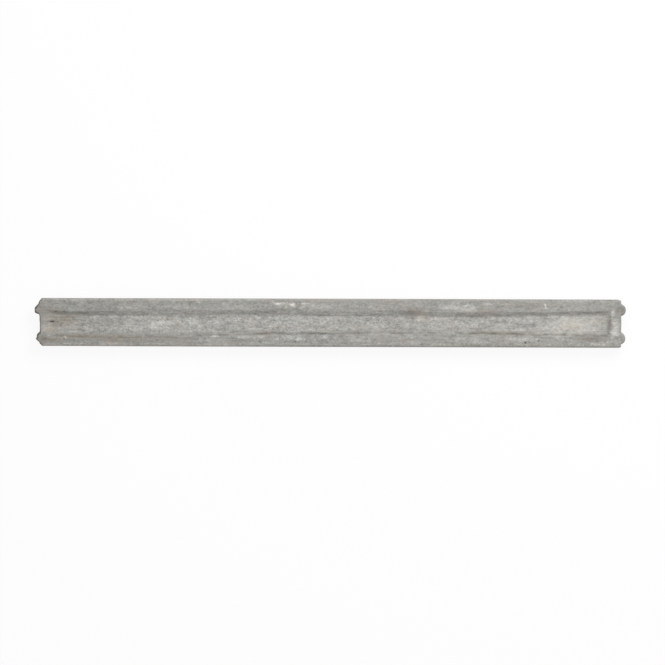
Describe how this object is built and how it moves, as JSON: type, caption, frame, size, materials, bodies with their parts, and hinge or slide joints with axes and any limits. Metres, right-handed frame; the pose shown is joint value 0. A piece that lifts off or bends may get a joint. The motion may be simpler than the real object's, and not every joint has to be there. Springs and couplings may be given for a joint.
{
  "type": "concrete gravel board",
  "caption": "Flat precast concrete board with a shallow recessed panel in its face and rounded nibs on its ends, for the foot of a slotted-post fence.",
  "frame": {"origin": "middle of the flat back, which the board lies on", "axes": "+X along the board, +Y across it, +Z through its thickness from the back to the recessed face"},
  "size_m": [1.8299, 0.15, 0.05],
  "materials": {
    "concrete": "cast concrete, matt and weathered"
  },
  "bodies": {
    "root": {"gravel_board": "concrete"}
  },
  "joints": []
}
